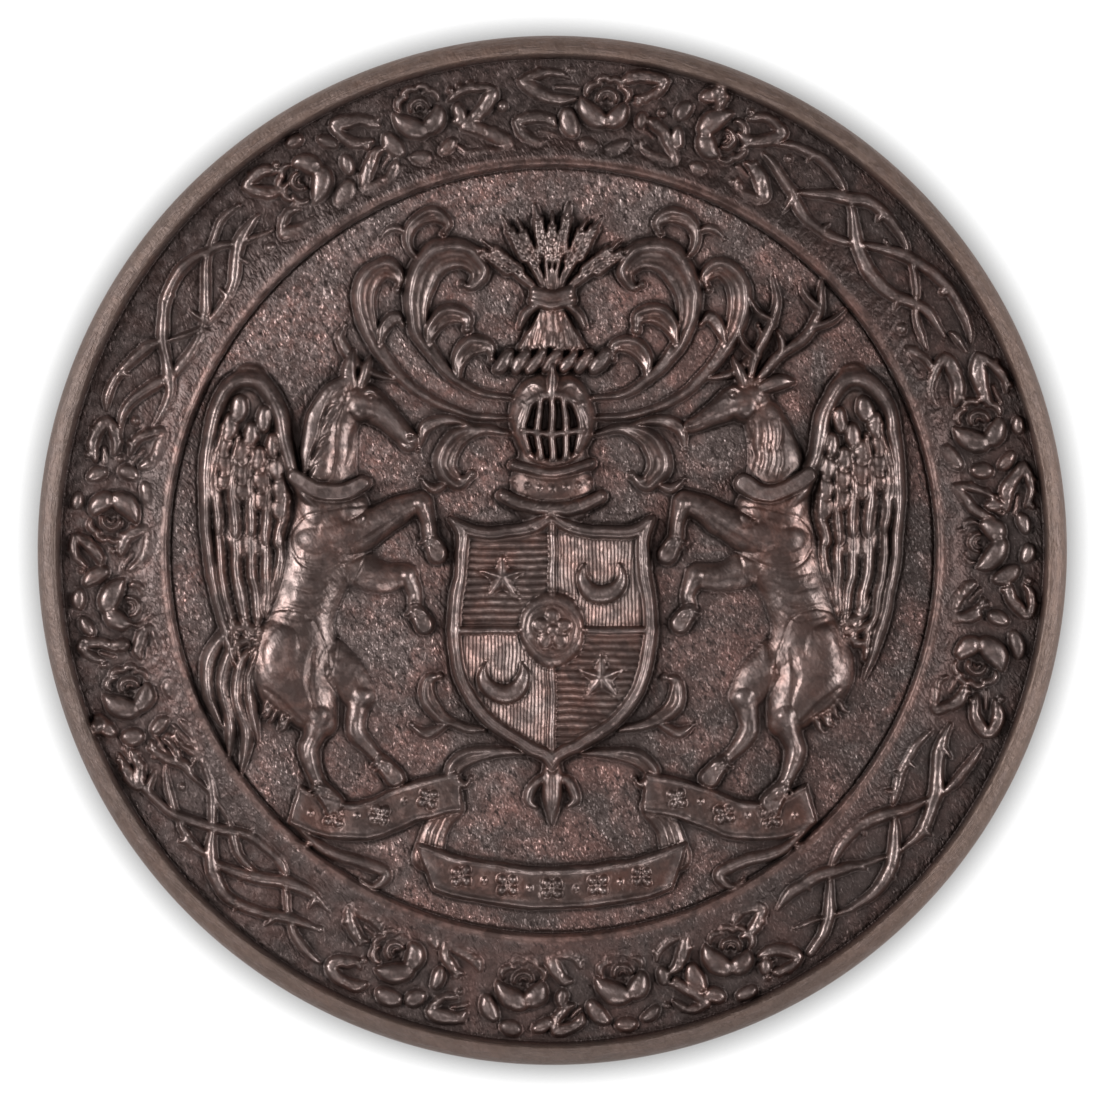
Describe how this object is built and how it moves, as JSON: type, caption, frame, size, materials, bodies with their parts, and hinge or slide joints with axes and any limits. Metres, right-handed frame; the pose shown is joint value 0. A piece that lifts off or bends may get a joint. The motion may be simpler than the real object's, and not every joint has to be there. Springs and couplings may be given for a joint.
{
  "type": "commemorative medal",
  "caption": "Round cast bronze medal with a rose and briar border round a raised heraldic design, and a plain flat back.",
  "frame": {"origin": "centre of the plain back, on the surface that the medal lies on", "axes": "+Z out of the relief face, +Y towards the top of the design, +X to its right"},
  "size_m": [0.057, 0.057, 0.0044],
  "materials": {
    "bronze": "cast bronze with a dark brown patina, rubbed lighter on the raised forms"
  },
  "bodies": {
    "root": {"medal": "bronze"}
  },
  "joints": []
}
